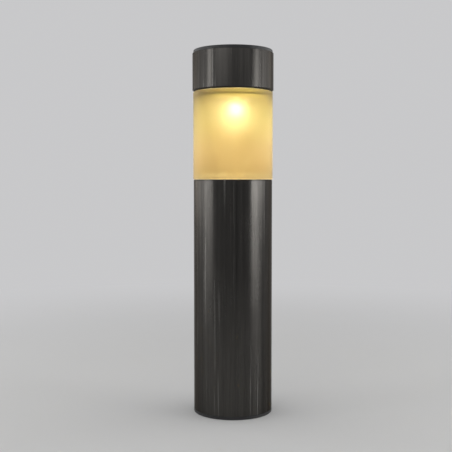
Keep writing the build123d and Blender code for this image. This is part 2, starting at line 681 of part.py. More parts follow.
def make_battery_cover():
    """The screwed-on door under the battery, with two ears and a grip."""
    cover = cover_outline(0, COVER_BOTTOM, COVER_TOP)
    cover = chamfer(cover.edges().group_by(Axis.Z)[0], 0.5)
    for place in COVER_SCREWS:
        cover += disc(COVER_EAR_R, COVER_BOTTOM, COVER_TOP, place)
    for place in COVER_SCREWS:
        cover -= hole(COVER_SCREW_R + 0.2, COVER_BOTTOM, COVER_TOP, place)
    for index in range(COVER_GRIP_COUNT):
        groove_x = about(COVER_GRIP_START + index * COVER_GRIP_PITCH, COVER_GRIP_PITCH / 5)
        groove_z = (COVER_BOTTOM - OVERCUT, COVER_BOTTOM + 0.6)
        cover -= block(groove_x, about(BATTERY_Y, COVER_HALF_WIDTH / 2), groove_z)
    return cover


def make_cover_gasket():
    """The flat seal between the cover and the base plate."""
    return cover_outline(0.5, COVER_TOP, PLATE_BOTTOM) - cover_outline(2.0, COVER_TOP - OVERCUT, PLATE_TOP)


def make_cover_screws():
    """Two small screws that hold the battery cover."""
    return Compound([pan_screw(place, COVER_BOTTOM, 2.0, COVER_SCREW_R, 8.0) for place in COVER_SCREWS])


# ---------------------------------------------------------------- wires
WIRE_R = 0.7
WIRE_BEND = 0.45     # share of the shorter run that a bend may use


def bend_radii(route):
    """The arc radius at each inner point of a route: as large as its two runs allow."""
    radii = []
    for before, here, after in zip(route, route[1:], route[2:]):
        arriving = Vector(*here) - Vector(*before)
        leaving = Vector(*after) - Vector(*here)
        half_turn = math.radians(arriving.get_angle(leaving)) / 2
        radii.append(WIRE_BEND * min(arriving.length, leaving.length) / math.tan(half_turn))
    return radii


def wire_along(route, side):
    """An insulated wire of straight runs and tangent arcs, mirrored in X for side -1."""
    route = [(side * x, y, z) for x, y, z in route]
    path = FilletPolyline(*route, radius=bend_radii(route))
    section = Plane(origin=path @ 0, z_dir=path % 0) * Circle(WIRE_R)
    return sweep(section, path=path)


# from under the solar panel, down through the deck to the circuit board
PANEL_WIRE_ROUTE = [
    (PANEL_WIRE_X, PANEL_WIRE_Y, DECK_TOP),
    (PANEL_WIRE_X, PANEL_WIRE_Y, BOARD_TOP + 16.3),
    (4.5, -13.5, BOARD_TOP + 10.8),
    (3.0, -12.5, BOARD_TOP + 5.4),
    (3.0, -12.5, BOARD_TOP),
]

# from a contact's tab, over the front of the battery box and down to the circuit board
TAB_X = (BOX_HALF_LENGTH + CONTACT_X) / 2
BATTERY_WIRE_ROUTE = [
    (TAB_X, BATTERY_Y, CONTACT_TOP),
    (TAB_X, BATTERY_Y, BOARD_TOP + 15.1),
    (27.2, 9.3, BOARD_TOP + 17.5),
    (26.4, 5.8, BOARD_TOP + 18.1),
    (25.2, 1.9, BOARD_TOP + 16.4),
    (23.8, -1.2, BOARD_TOP + 12.8),
    (22.4, -3.1, BOARD_TOP + 8.4),
    (21.8, -3.8, BOARD_TOP + 4.0),
    (21.8, -3.8, BOARD_TOP),
]

# ---------------------------------------------------------------- output
NODES = {
    "ground_stake": make_ground_stake,
    "base_plug": make_base_plug,
    "body_tube": make_body_tube,
    "tube_collar": make_tube_collar,
    "collar_seal": make_collar_seal,
    "reflector_plate": make_reflector_plate,
    "reflector_screws": make_reflector_screws,
    "diffuser": make_diffuser,
    "lens_gasket": make_lens_gasket,
    "cap_sleeve": make_cap_sleeve,
    "head_housing": make_head_housing,
    "base_plate": make_base_plate,
    "base_screws": make_base_screws,
    "skirt_o_ring": make_skirt_o_ring,
    "panel_window": make_panel_window,
    "panel_seal": make_panel_seal,
    "panel_board": make_panel_board,
    "solar_cells": make_solar_cells,
    "cell_ribbons": make_cell_ribbons,
    "control_board": make_control_board,
    "board_screws": make_board_screws,
    "driver_chip": make_driver_chip,
    "inductor": make_inductor,
    "capacitor": make_capacitor,
    "switch_body": make_switch_body,
    "switch_knob": make_switch_knob,
    "led_holder": make_led_holder,
    "led_lamp": make_led_lamp,
    "led_leads": make_led_leads,
    "battery_cell": make_battery_cell,
    "battery_box": make_battery_box,
    "battery_spring": make_battery_spring,
    "battery_contact_plus": lambda: contact(1),
    "battery_contact_minus": lambda: contact(-1),
    "battery_cover": make_battery_cover,
    "cover_gasket": make_cover_gasket,
    "cover_screws": make_cover_screws,
    "panel_wire_red": lambda: wire_along(PANEL_WIRE_ROUTE, 1),
    "panel_wire_black": lambda: wire_along(PANEL_WIRE_ROUTE, -1),
    "battery_wire_red": lambda: wire_along(BATTERY_WIRE_ROUTE, 1),
    "battery_wire_black": lambda: wire_along(BATTERY_WIRE_ROUTE, -1),
}

os.makedirs("parts", exist_ok=True)
for name, make in NODES.items():
    export_step(make(), f"parts/{name}.step")
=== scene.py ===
import math

import bmesh
import bpy
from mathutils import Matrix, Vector


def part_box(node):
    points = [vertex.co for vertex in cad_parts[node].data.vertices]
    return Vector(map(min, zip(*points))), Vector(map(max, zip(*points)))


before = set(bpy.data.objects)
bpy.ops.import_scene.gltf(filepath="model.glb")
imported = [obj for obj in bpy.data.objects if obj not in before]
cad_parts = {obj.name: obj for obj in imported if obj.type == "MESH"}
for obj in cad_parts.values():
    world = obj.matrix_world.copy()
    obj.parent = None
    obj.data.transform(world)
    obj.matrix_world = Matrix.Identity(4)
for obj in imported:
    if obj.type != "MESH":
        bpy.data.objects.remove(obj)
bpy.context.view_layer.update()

# Solar garden light in metres, +Z up, ground at z = 0, front towards -Y. Colours are linear RGB.

# ---------------------------------------------------------------- camera
CAMERA_PLACE = (0.0, -0.820, 0.2224)
CAMERA_PITCH = math.radians(2.90)
CAMERA_YAW = math.radians(0.47)
CAMERA_LENS = 67.2
CAMERA_SENSOR = 36.0
CAMERA_CLIP = (0.01, 100.0)

# ---------------------------------------------------------------- places read from the frame
TUBE_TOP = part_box("body_tube")[1].z
LENS_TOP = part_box("diffuser")[1].z
LENS_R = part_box("diffuser")[1].x
STAKE_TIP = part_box("ground_stake")[0].z
lamp_low, lamp_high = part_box("led_lamp")
lamp_centre = (lamp_low + lamp_high) / 2
choke_low, choke_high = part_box("inductor")
capacitor_low, capacitor_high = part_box("capacitor")
battery_low, battery_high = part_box("battery_cell")
capacitor_x = (capacitor_low.x + capacitor_high.x) / 2

# ---------------------------------------------------------------- small patterns, in metres
LENS_SKIN = 0.0012          # the outer part of the lens wall, which has a painted glow only at its foot and its top
CELL_PITCH = 0.0094         # from one solar strip to the next
FINGER_PITCH = 0.00157      # from one silver finger to the next
WIRE_TURN = 0.00014         # from a turn of the choke's wire to the dip beside it
PANEL_TRACE_PITCH = 0.0052
BOARD_TRACE_PITCH = 0.0024
CAPACITOR_RIM = (0.0003, 0.0004)    # bare metal below and above the capacitor's sleeve
CAPACITOR_STRIPE = 0.0018           # from its middle to the edge of its pale stripe
BATTERY_RIM = (0.0009, 0.0022)      # bare metal at the two ends of the battery

# ---------------------------------------------------------------- shares, of 1
FINGER_PART = 0.09          # of the finger pitch: silver
STRIP_STEP = 0.37           # from one solar strip's shade to the next one's, wrapped round
WINDING_HALF = 0.27         # of the choke's height: wound, on each side of its middle

# ---------------------------------------------------------------- colours
BLACK = (0.0, 0.0, 0.0)
WHITE = (1.0, 1.0, 1.0)
# The steel's tones are painted shade: far darker than bare stainless, so its reflections stay as dim as at
# night.
STEEL_DEEP = (0.030, 0.0288, 0.0275)
STEEL_MID = (0.050, 0.048, 0.045)
STEEL_BAND = (0.080, 0.076, 0.070)
STEEL_STREAK = (0.078, 0.074, 0.069)
STEEL_HAIR = (0.11, 0.105, 0.098)
# Colour of thin paler lines along the tube.
STEEL_PALE_LINE = (0.17, 0.165, 0.155)
STEEL_GRAZING = (0.52, 0.50, 0.48)
LENS_BODY = (0.42, 0.335, 0.165)
LENS_GLOSS = (1.0, 0.7, 0.35)
# Colour mixed into the lens's painted glow in slow clouds.
LENS_GLOW_CLOUD = (0.90, 0.78, 0.40)
MILKY_DARK = (0.80, 0.77, 0.69)
MILKY_PALE = (0.88, 0.86, 0.79)
STAKE_DARK = (0.012, 0.012, 0.013)
STAKE_PALE = (0.024, 0.024, 0.025)
SOIL_DUST = (0.115, 0.082, 0.052)
RESIN_BODY = (0.95, 0.85, 0.55)
WINDOW_TINT = (0.93, 0.96, 0.97)
CELL_DARK = (0.010, 0.016, 0.060)
CELL_PALE = (0.020, 0.036, 0.125)
CELL_SHADED = (0.012, 0.014, 0.048)
FINGER_SILVER = (0.46, 0.47, 0.50)
BOARD_EDGE = (0.42, 0.36, 0.20)
FERRITE_DARK = (0.030, 0.030, 0.032)
FERRITE_PALE = (0.055, 0.054, 0.054)
# Painted shade in the dips between the choke's turns, and a painted highlight on their crests.
COPPER_DIP_SHADE = (0.16, 0.045, 0.018)
COPPER_CREST_HIGHLIGHT = (0.62, 0.24, 0.10)
STRIPE_GREY = (0.45, 0.45, 0.44)
FLOOR_DARK = (0.68, 0.68, 0.67)
FLOOR_PALE = (0.72, 0.72, 0.71)
STUDIO_FRONT = (0.25, 0.25, 0.255)
STUDIO_BACK = (0.58, 0.58, 0.59)

# The painted glow of the lens's wall, standing in for the lamp's light scattered in it and dimmed near the
# top as painted shade under the head; and of that wall's outer skin, a painted pale line at its foot and a
# faint one at its top. Both go from the top of the body tube (0) to the top of the lens (1).
LENS_GLOW = (
    (0.000, (0.22, 0.19, 0.12)),
    (0.035, (0.26, 0.21, 0.11)),
    (0.080, (0.31, 0.21, 0.080)),
    (0.200, (0.44, 0.31, 0.140)),
    (0.350, (0.53, 0.40, 0.200)),
    (0.500, (0.57, 0.48, 0.200)),
    (0.620, (0.57, 0.52, 0.185)),
    (0.720, (0.52, 0.48, 0.145)),
    (0.810, (0.46, 0.41, 0.100)),
    (0.880, (0.36, 0.30, 0.080)),
    (0.930, (0.16, 0.14, 0.050)),
    (0.960, (0.05, 0.045, 0.020)),
    (1.000, (0.06, 0.050, 0.030)),
)
LENS_SKIN_GLOW = (
    (0.000, (0.44, 0.38, 0.27)),
    (0.009, (0.44, 0.38, 0.27)),
    (0.019, BLACK),
    (0.980, BLACK),
    (1.000, (0.06, 0.055, 0.04)),
)
# The lamp's colour from its tip (0) to its flange (1).
LAMP_GLOW = ((0.0, WHITE), (0.7, (1.0, 0.98, 0.95)), (1.0, (1.0, 0.88, 0.60)))
LAMP_STRENGTH = 1900.0
# The painted glow in the white plate, standing in for the lamp's light on it, from the part nearest to the
# lamp (0) to the part where it has faded (1).
PLATE_GLOW = ((0.0, (0.62, 0.58, 0.25)), (0.3, (0.12, 0.11, 0.05)), (1.0, (0.01, 0.01, 0.005)))
PLATE_GLOW_REACH = (0.030, 0.042)
# How far from the lamp's axis the lens's painted glow is full, and where it has faded most. The share of that
# glow that has faded there grows with its height, between the two heights.
LENS_GLOW_REACH = (0.0295, 0.044)
LENS_FADE_HEIGHTS = (0.3, 0.75)
LENS_FADE_SHARES = (0.38, 0.75)

# ---------------------------------------------------------------- studio
FLOOR_RADIUS = 14.0
FLOOR_BLEND = (0.25, 1.05)      # from the object: lit floor nearer, plain studio grey beyond
STRIP_DISTANCE = 1.1
POWER_PER_RADIANCE = 4.0        # an area light shines with its power over four times its area
# Upright soft lights round the object: name, bearing, width, then (height, radiance) from the lowest up.
STRIPS = (
    ("right_low", 67.0, 0.50, ((0.02, 4.6), (0.06, 1.6), (0.15, 0.2), (0.195, 7.0), (0.28, 6.4))),
    ("right_side", 90.0, 0.34, ((0.18, 0.2), (0.22, 3.2), (0.30, 2.6), (0.36, 1.0))),
    ("right_high", 70.0, 0.30, ((0.38, 5.6), (0.43, 5.2), (0.47, 2.0), (0.51, 0.5), (1.3, 0.4))),
    ("right_back", 112.0, 1.00, ((0.02, 0.03), (0.15, 0.05), (0.19, 0.3), (0.36, 0.3), (0.42, 1.6),
                                 (0.46, 0.9), (0.52, 0.6), (1.3, 0.4))),
    ("left_low", -75.0, 0.54, ((0.02, 2.2), (0.06, 0.5), (0.15, 0.05), (0.195, 3.1), (0.28, 2.6))),
    ("left_high", -68.0, 0.26, ((0.38, 4.6), (0.43, 4.2), (0.47, 2.4), (0.52, 1.3), (1.3, 0.8))),
    ("left_front", -33.0, 0.78, ((0.50, 1.0), (0.60, 0.8), (0.80, 0.5), (1.3, 0.3))),
    ("front_high", 0.0, 2.40, ((0.50, 0.40), (0.60, 0.4), (0.80, 0.3), (1.3, 0.2))),
    ("left_back", -111.5, 1.35, ((0.02, 0.03), (0.15, 0.05), (0.19, 2.1), (0.25, 1.9), (0.31, 0.5),
                                 (0.40, 0.5), (0.44, 0.85), (0.52, 0.25), (1.3, 0.25))),
)


# ---------------------------------------------------------------- node helpers
def colour4(value):
    """An RGB tuple with alpha 1; anything else as it is."""
    return (*value, 1.0) if isinstance(value, tuple) and len(value) == 3 else value


def brighter(colour, times):
    return tuple(times * part for part in colour)


class Tree:
    """A short way to write a node tree."""

    def __init__(self, tree):
        self.tree = tree
        self.tree.nodes.clear()

    def add(self, kind, **settings):
        node = self.tree.nodes.new(kind)
        for name, value in settings.items():
            setattr(node, name, value)
        return node

    def join(self, output, socket):
        self.tree.links.new(output, socket)

    def feed(self, socket, value):
        """Sets a socket to a number or colour, or links an output to it."""
        if isinstance(value, bpy.types.NodeSocket):
            self.join(value, socket)
        elif value is not None:
            socket.default_value = value

    def math(self, operation, a, b=None, c=None):
        node = self.add("ShaderNodeMath", operation=operation)
        for socket, value in zip(node.inputs, (a, b, c)):
            self.feed(socket, value)
        return node.outputs[0]

    def spread(self, value, low, high, to_low=0.0, to_high=1.0, smooth=False):
        """Maps value from low..high to to_low..to_high, clamped."""
        node = self.add("ShaderNodeMapRange", interpolation_type="SMOOTHSTEP" if smooth else "LINEAR")
        for name, number in (("From Min", low), ("From Max", high), ("To Min", to_low), ("To Max", to_high)):
            node.inputs[name].default_value = number
        self.feed(node.inputs["Value"], value)
        return node.outputs[0]

    def swing(self, noise, low=0.0, high=1.0):
        """Maps the range that a noise mostly fills to low..high."""
        return self.spread(noise, 0.3, 0.7, low, high)

    def ramp(self, value, stops, interpolation="LINEAR"):
        node = self.add("ShaderNodeValToRGB")
        node.color_ramp.interpolation = interpolation
        elements = node.color_ramp.elements
        while len(elements) > 1:
            elements.remove(elements[-1])
        for index, (place, colour) in enumerate(stops):
            element = elements[0] if index == 0 else elements.new(place)
            element.position = place
            element.color = colour4(colour)
        self.feed(node.inputs["Fac"], value)
        return node.outputs["Color"]

    def mix(self, factor, a, b):
        node = self.add("ShaderNodeMix", data_type="RGBA", blend_type="MIX")
        self.feed(node.inputs["Factor"], factor)
        self.feed(node.inputs["A"], colour4(a))
        self.feed(node.inputs["B"], colour4(b))
        return node.outputs["Result"]

    def place(self):
        """The shaded point, in the object's own metres."""
        return self.add("ShaderNodeTexCoord").outputs["Object"]

    def axes(self, vector):
        node = self.add("ShaderNodeSeparateXYZ")
        self.join(vector, node.inputs[0])
        return node.outputs

    def scaled(self, vector, scale, shift=(0.0, 0.0, 0.0)):
        node = self.add("ShaderNodeMapping")
        node.inputs["Scale"].default_value = scale
        node.inputs["Location"].default_value = shift
        self.join(vector, node.inputs["Vector"])
        return node.outputs[0]

    def flat(self, vector):
        """The vector with its height taken out."""
        return self.scaled(vector, (1.0, 1.0, 0.0))

    def drawn(self, vector, keep, shift=(0.0, 0.0, 0.0)):
        """The vector for a pattern that is drawn out along Z: keep is how much of its height counts."""
        return self.scaled(vector, (1.0, 1.0, keep), shift)

    def distance(self, vector, centre=(0.0, 0.0, 0.0)):
        node = self.add("ShaderNodeVectorMath", operation="DISTANCE")
        self.join(vector, node.inputs[0])
        node.inputs[1].default_value = centre
        return node.outputs["Value"]

    def noise(self, vector, scale, detail=3.0, rough=0.5):
        node = self.add("ShaderNodeTexNoise", noise_dimensions="3D")
        self.join(vector, node.inputs["Vector"])
        for name, number in (("Scale", scale), ("Detail", detail), ("Roughness", rough)):
            node.inputs[name].default_value = number
        return node.outputs["Fac"]

    def mottle(self, vector):
        """The slow unevenness that every moulded piece has."""
        return self.noise(vector, scale=90.0, detail=4.0, rough=0.55)

    def bump(self, height, strength, distance, normal=None):
        node = self.add("ShaderNodeBump")
        node.inputs["Strength"].default_value = strength
        node.inputs["Distance"].default_value = distance
        self.join(height, node.inputs["Height"])
        self.feed(node.inputs["Normal"], normal)
        return node.outputs[0]

    def surface(self, shader):
        self.join(shader, self.add("ShaderNodeOutputMaterial").inputs["Surface"])

    def shader(self, **inputs):
        """A Principled shader; input names have _ for a space."""
        node = self.add("ShaderNodeBsdfPrincipled")
        for name, value in inputs.items():
            self.feed(node.inputs[name.replace("_", " ")], colour4(value))
        return node.outputs[0]

    def principled(self, **inputs):
        """A Principled shader joined to the material's output."""
        self.surface(self.shader(**inputs))


def material(name):
    made = bpy.data.materials.new(name)
    made.use_nodes = True
    return made, Tree(made.node_tree)


# ---------------------------------------------------------------- materials
def make_steel():
    """Brushed stainless in painted dark tones: drawn lines along the tube, a slow tone change round it, thin
    paler lines.
    """
    made, t = material("brushed_stainless")
    point = t.place()
    broad = t.noise(t.drawn(point, 0.02, (0.3, 0.1, 0.0)), scale=28.0, detail=2.0)
    bands = t.noise(t.drawn(point, 0.008, (0.0, 0.4, 0.2)), scale=190.0, detail=2.0)
    streaks = t.noise(t.drawn(point, 0.012), scale=420.0, detail=4.0, rough=0.6)
    hairs = t.noise(t.drawn(point, 0.02, (0.0, 0.7, 0.0)), scale=2200.0, detail=2.0)
    smudge = t.noise(t.drawn(point, 0.6), scale=30.0, detail=4.0, rough=0.55)
    # Dark tones throughout: painted shade that keeps the reflections dim.
    tone = t.mix(t.spread(broad, 0.35, 0.65), STEEL_DEEP, STEEL_MID)
    tone = t.mix(t.spread(bands, 0.38, 0.62, 0.0, 0.65), tone, STEEL_BAND)
    tone = t.mix(t.spread(streaks, 0.30, 0.72, 0.0, 0.9), tone, STEEL_STREAK)
    tone = t.mix(t.spread(hairs, 0.45, 0.80, 0.0, 0.45), tone, STEEL_HAIR)
    # Thin paler lines where the streak noise peaks.
    tone = t.mix(t.spread(streaks, 0.62, 0.67), tone, STEEL_PALE_LINE)
    rough = t.math("ADD", t.swing(smudge, 0.20, 0.29), t.swing(streaks, -0.03, 0.03))
    lines = t.bump(streaks, strength=0.35, distance=0.0002)
    lines = t.bump(hairs, strength=0.25, distance=0.00005, normal=lines)
    tangent = t.add("ShaderNodeTangent", direction_type="RADIAL", axis="Z").outputs[0]
    t.principled(Base_Color=tone, Metallic=1.0, Roughness=rough, Specular_Tint=STEEL_GRAZING,
                 Anisotropic=0.25, Anisotropic_Rotation=0.25, Tangent=tangent, Normal=lines)
    return made


def make_lens():
    """Frosted lens, lit from inside.

    The inside of its wall has a painted glow by height, weaker away from the lamp's axis. A painted pale line
    shows where it enters the body tube. The rest is the lamp's own light, scattered by the frosting.
    """
    made, t = material("frosted_lens")
    point = t.place()
    height = t.spread(t.axes(point)[2], TUBE_TOP, LENS_TOP)
    cloud = t.noise(point, scale=60.0)
    frost = t.noise(point, scale=3500.0, detail=2.0)
    # Painted glow standing in for the lamp's light in the wall: by height, in slow clouds, fading away from
    # the lamp.
    glow = t.mix(t.swing(cloud, 0.0, 0.10), t.ramp(height, LENS_GLOW), LENS_GLOW_CLOUD)
    reach = t.distance(t.flat(point), (lamp_centre.x, lamp_centre.y, 0.0))
    fade = t.math("MULTIPLY", t.spread(reach, *LENS_GLOW_REACH),
                  t.spread(height, *LENS_FADE_HEIGHTS, *LENS_FADE_SHARES))
    glow = t.mix(fade, glow, BLACK)
    # The outer skin has its own painted glow: a pale line at the foot and a faint one at the top.
    outside = t.math("GREATER_THAN", t.distance(t.flat(point)), LENS_R - LENS_SKIN)
    glow = t.mix(outside, glow, t.ramp(height, LENS_SKIN_GLOW))
    t.principled(Base_Color=LENS_BODY, Roughness=t.swing(cloud, 0.53, 0.59), IOR=1.49,
                 Specular_Tint=LENS_GLOSS, Transmission_Weight=1.0,
                 Emission_Color=glow, Emission_Strength=1.0,
                 Normal=t.bump(frost, strength=0.3, distance=0.00004))
    made.cycles.emission_sampling = "NONE"
    return made


def make_plastic(name, dark, pale, rough, grain=1400.0, depth=0.00006, specular=0.5):
    """Moulded plastic: a fine grain, slight mottling and uneven gloss."""
    made, t = material(name)
    point = t.place()
    mottle = t.mottle(point)
    skin = t.noise(point, grain, rough=0.6)
    t.principled(Base_Color=t.mix(t.swing(mottle), dark, pale),
                 Roughness=t.swing(mottle, rough - 0.06, rough + 0.06), Specular_IOR_Level=specular,
                 Normal=t.bump(skin, strength=0.5, distance=depth))
    return made


def make_milky_plastic():
    """Thin white plastic that lets the lamp's light through, with a painted glow near the lamp."""
    made, t = material("milky_plastic")
    point = t.place()
    mottle = t.mottle(point)
    skin = t.noise(point, scale=1400.0, rough=0.6)
    # Painted glow near the lamp, standing in for its light falling on the plate.
    lit = t.ramp(t.spread(t.distance(point, lamp_centre), *PLATE_GLOW_REACH), PLATE_GLOW)
    t.principled(Base_Color=t.mix(t.swing(mottle), MILKY_DARK, MILKY_PALE),
                 Roughness=t.swing(mottle, 0.78, 0.90), IOR=1.30, Transmission_Weight=0.7,
                 Emission_Color=lit, Emission_Strength=1.0,
                 Normal=t.bump(skin, strength=0.5, distance=0.00006))
    made.cycles.emission_sampling = "NONE"
    return made


def make_stake_plastic():
    """The stake's black plastic, with dry soil dust that thickens towards its point."""
    made, t = material("stake_plastic")
    point = t.place()
    dust = t.noise(point, scale=160.0, detail=6.0, rough=0.65)
    grit = t.noise(point, scale=1500.0, rough=0.6)
    depth = t.spread(t.axes(point)[2], 0.0, STAKE_TIP, 0.0, 0.16)
    laid = t.spread(t.math("ADD", dust, depth), 0.52, 0.72, 0.0, 0.75)
    tone = t.mix(laid, t.mix(t.swing(t.mottle(point)), STAKE_DARK, STAKE_PALE), SOIL_DUST)
    relief = t.bump(dust, strength=0.35, distance=0.0003, normal=t.bump(grit, strength=0.5, distance=0.00006))
    t.principled(Base_Color=tone, Roughness=t.spread(laid, 0.0, 0.75, 0.42, 0.85), Normal=relief)
    return made


def make_lamp_resin():
    """The lit lamp: a white dome, warmer towards its flange."""
    made, t = material("lit_lamp")
    rise = t.spread(t.axes(t.place())[2], lamp_low.z, lamp_high.z)
    t.principled(Base_Color=RESIN_BODY, Roughness=0.2, Emission_Color=t.ramp(rise, LAMP_GLOW),
                 Emission_Strength=LAMP_STRENGTH)
    return made


def make_window():
    """Clear solar window with a trace of haze and a few dust specks."""
    made, t = material("clear_window")
    point = t.place()
    haze = t.noise(point, scale=40.0, detail=4.0)
    specks = t.noise(point, scale=900.0, detail=2.0)
    rough = t.math("ADD", t.swing(haze, 0.02, 0.08), t.spread(specks, 0.68, 0.74, 0.0, 0.25))
    t.principled(Base_Color=WINDOW_TINT, Roughness=rough, IOR=1.45, Transmission_Weight=1.0)
    return made


def make_metal(name, tone, rough, grain=500.0, stretch=(1.0, 1.0, 1.0)):
    """Plated metal: cloudy tone and gloss, stretched along the way it was drawn or rolled."""
    made, t = material(name)
    mottle = t.noise(t.scaled(t.place(), stretch), grain, detail=4.0)
    t.principled(Base_Color=t.mix(t.swing(mottle), tone, brighter(tone, 0.75)), Metallic=1.0,
                 Roughness=t.swing(mottle, rough - 0.08, rough + 0.08),
                 Normal=t.bump(mottle, strength=0.2, distance=0.00004))
    return made


def make_cells():
    """Solar cells: blue crystal grains, a shade for each strip, and fine silver fingers along the strips."""
    made, t = material("solar_cell")
    point = t.place()
    across = t.axes(point)[1]
    grains = t.add("ShaderNodeTexVoronoi", voronoi_dimensions="2D")
    t.join(t.scaled(point, (1.0, 1.35, 1.0)), grains.inputs["Vector"])
    grains.inputs["Scale"].default_value = 260.0
    shade = t.axes(grains.outputs["Color"])[0]
    strip = t.math("FLOOR", t.math("DIVIDE", across, CELL_PITCH))
    strip_shade = t.math("FRACT", t.math("MULTIPLY", strip, STRIP_STEP))
    tone = t.mix(shade, CELL_DARK, CELL_PALE)
    tone = t.mix(t.math("MULTIPLY", strip_shade, 0.5), tone, CELL_SHADED)
    finger = t.math("LESS_THAN", t.math("FRACT", t.math("DIVIDE", across, FINGER_PITCH)), FINGER_PART)
    t.principled(Base_Color=t.mix(finger, tone, FINGER_SILVER), Metallic=t.math("MULTIPLY", finger, 0.8),
                 Roughness=t.spread(shade, 0.0, 1.0, 0.22, 0.36), Coat_Weight=0.6, Coat_Roughness=0.08,
                 Normal=t.bump(finger, strength=0.4, distance=0.00003))
    return made


def make_board(name, mask, trace, pitch):
    """A printed board: coloured mask over a glass weave, raised traces, and pale cut edges."""
    made, t = material(name)
    point = t.place()
    tracks = t.add("ShaderNodeTexBrick", offset=0.5, squash=0.7, squash_frequency=3)
    t.join(point, tracks.inputs["Vector"])
    for socket, value in (("Scale", 1.0), ("Brick Width", 2.6 * pitch), ("Row Height", pitch),
                          ("Mortar Size", 0.11 * pitch), ("Mortar Smooth", 0.1)):
        tracks.inputs[socket].default_value = value
    weave = t.add("ShaderNodeTexChecker")
    t.join(point, weave.inputs["Vector"])
    weave.inputs["Scale"].default_value = 1600.0
    mottle = t.noise(point, scale=120.0, detail=4.0)
    track = tracks.outputs["Fac"]
    tone = t.mix(track, t.mix(t.swing(mottle), mask, brighter(mask, 1.35)), trace)
    up = t.axes(t.add("ShaderNodeNewGeometry").outputs["Normal"])[2]
    edge = t.math("LESS_THAN", t.math("ABSOLUTE", up), 0.5)
    weave_relief = t.bump(weave.outputs["Fac"], strength=0.2, distance=0.00002)
    t.principled(Base_Color=t.mix(edge, tone, BOARD_EDGE), Roughness=t.swing(mottle, 0.28, 0.42),
                 Normal=t.bump(track, strength=0.5, distance=0.00006, normal=weave_relief))
    return made


def make_wound_core():
    """The choke: dark ferrite flanges with close turns of enamelled copper between them, each turn with
    painted shade in its dip and a painted highlight on its crest.
    """
    made, t = material("wound_ferrite")
    point = t.place()
    z = t.axes(point)[2]
    winding = t.math("COMPARE", t.spread(z, choke_low.z, choke_high.z), 0.5, WINDING_HALF)
    turns = t.math("PINGPONG", t.math("DIVIDE", z, WIRE_TURN), 1.0)
    ferrite = t.mix(t.swing(t.noise(point, scale=1300.0)), FERRITE_DARK, FERRITE_PALE)
    # Each turn runs from painted shade in its dip to a painted highlight on its crest.
    copper = t.mix(turns, COPPER_DIP_SHADE, COPPER_CREST_HIGHLIGHT)
    t.principled(Base_Color=t.mix(winding, ferrite, copper), Metallic=winding,
                 Roughness=t.spread(winding, 0.0, 1.0, 0.6, 0.3),
                 Normal=t.bump(t.math("MULTIPLY", turns, winding), strength=0.8, distance=0.00012))
    return made


def make_can(name, sleeve, metal, axis, low, high, stripe=None):
    """A shrink sleeve on a metal can.

    Bare metal shows past low and high along the axis, which is 0 for X and 2 for Z. A pale stripe, if any,
    lies past stripe along X.
    """
    made, t = material(name)
    point = t.place()
    along = t.axes(point)[axis]
    bare = t.math("MAXIMUM", t.math("LESS_THAN", along, low), t.math("GREATER_THAN", along, high))
    crease = t.noise(point, scale=240.0, detail=4.0, rough=0.6)
    tone = t.mix(t.swing(crease), sleeve, brighter(sleeve, 1.25))
    if stripe:
        tone = t.mix(t.math("GREATER_THAN", t.axes(point)[0], stripe), tone, STRIPE_GREY)
    t.principled(Base_Color=t.mix(bare, tone, metal), Metallic=bare, Roughness=t.swing(crease, 0.25, 0.40),
                 Normal=t.bump(crease, strength=0.25, distance=0.0001))
    return made


def make_plain_plastics():
    """The moulded plastics, rubber and wire sheaths, each with the nodes that are made of it."""
    return (
        (make_plastic("black_plastic", (0.010, 0.010, 0.011), (0.020, 0.020, 0.021), 0.42),
         "head_housing", "base_plug", "tube_collar"),
        (make_plastic("dark_plastic", (0.030, 0.031, 0.034), (0.045, 0.046, 0.050), 0.5),
         "battery_box", "battery_cover"),
        (make_plastic("white_plastic", (0.62, 0.60, 0.54), (0.72, 0.70, 0.64), 0.4),
         "reflector_plate", "led_holder"),
        (make_plastic("knob_plastic", (0.30, 0.03, 0.02), (0.36, 0.04, 0.03), 0.45),
         "switch_knob"),
        (make_plastic("black_rubber", (0.012, 0.012, 0.012), (0.022, 0.021, 0.020), 0.72,
                      grain=2600.0, depth=0.00005, specular=0.3),
         "collar_seal", "lens_gasket", "skirt_o_ring", "cover_gasket", "panel_seal"),
        (make_plastic("chip_epoxy", (0.014, 0.014, 0.015), (0.026, 0.026, 0.027), 0.55,
                      grain=3200.0, depth=0.00003),
         "driver_chip"),
        (make_plastic("red_wire", (0.42, 0.020, 0.015), (0.50, 0.030, 0.022), 0.4,
                      grain=900.0, depth=0.00003),
         "panel_wire_red", "battery_wire_red"),
        (make_plastic("black_wire", (0.014, 0.014, 0.015), (0.024, 0.024, 0.025), 0.4,
                      grain=900.0, depth=0.00003),
         "panel_wire_black", "battery_wire_black"),
    )


def make_plated_metals():
    """The small metal parts, each finish with the nodes that have it."""
    return (
        (make_metal("nickel_spring_steel", (0.66, 0.64, 0.60), 0.28, grain=900.0),
         "battery_spring", "battery_contact_plus", "battery_contact_minus"),
        (make_metal("tinned_metal", (0.70, 0.70, 0.69), 0.34, grain=700.0, stretch=(1.0, 0.3, 0.3)),
         "switch_body", "led_leads", "cell_ribbons"),
        (make_metal("zinc_screw", (0.62, 0.62, 0.60), 0.3),
         "base_screws", "reflector_screws", "board_screws", "cover_screws"),
    )


